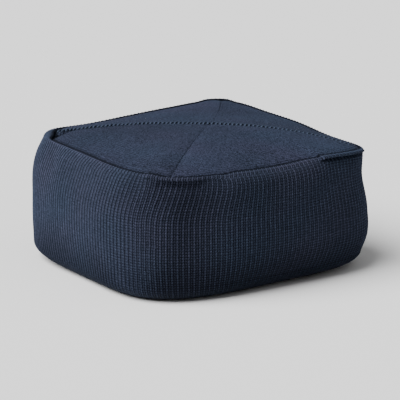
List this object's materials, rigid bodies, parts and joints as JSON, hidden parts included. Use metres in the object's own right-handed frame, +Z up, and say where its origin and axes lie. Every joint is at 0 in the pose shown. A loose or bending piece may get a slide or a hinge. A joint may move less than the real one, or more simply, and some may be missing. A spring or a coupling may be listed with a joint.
{
  "type": "outdoor footstool",
  "caption": "Square, low, softly filled floor cushion with an upright ribbed knitted side band and a top of triangular knitted panels that meet in the middle.",
  "frame": {"origin": "middle of the footprint's box, on the floor", "axes": "+Z up; -Y is the wider face in the picture, which is the front; +X is to the right of someone who looks at the front"},
  "size_m": [0.6186, 0.6172, 0.3001],
  "materials": {
    "band_yarn": "matt navy yarn, ribbed knit",
    "top_yarn": "matt navy yarn, flat knit",
    "base_cloth": "matt dark navy woven cloth"
  },
  "bodies": {
    "root": {"filled_ribbed_body": "band_yarn", "top_panel_back": "top_yarn", "top_panel_left": "top_yarn", "top_panel_front": "top_yarn", "top_panel_right": "top_yarn", "base_panel": "base_cloth"}
  },
  "joints": []
}
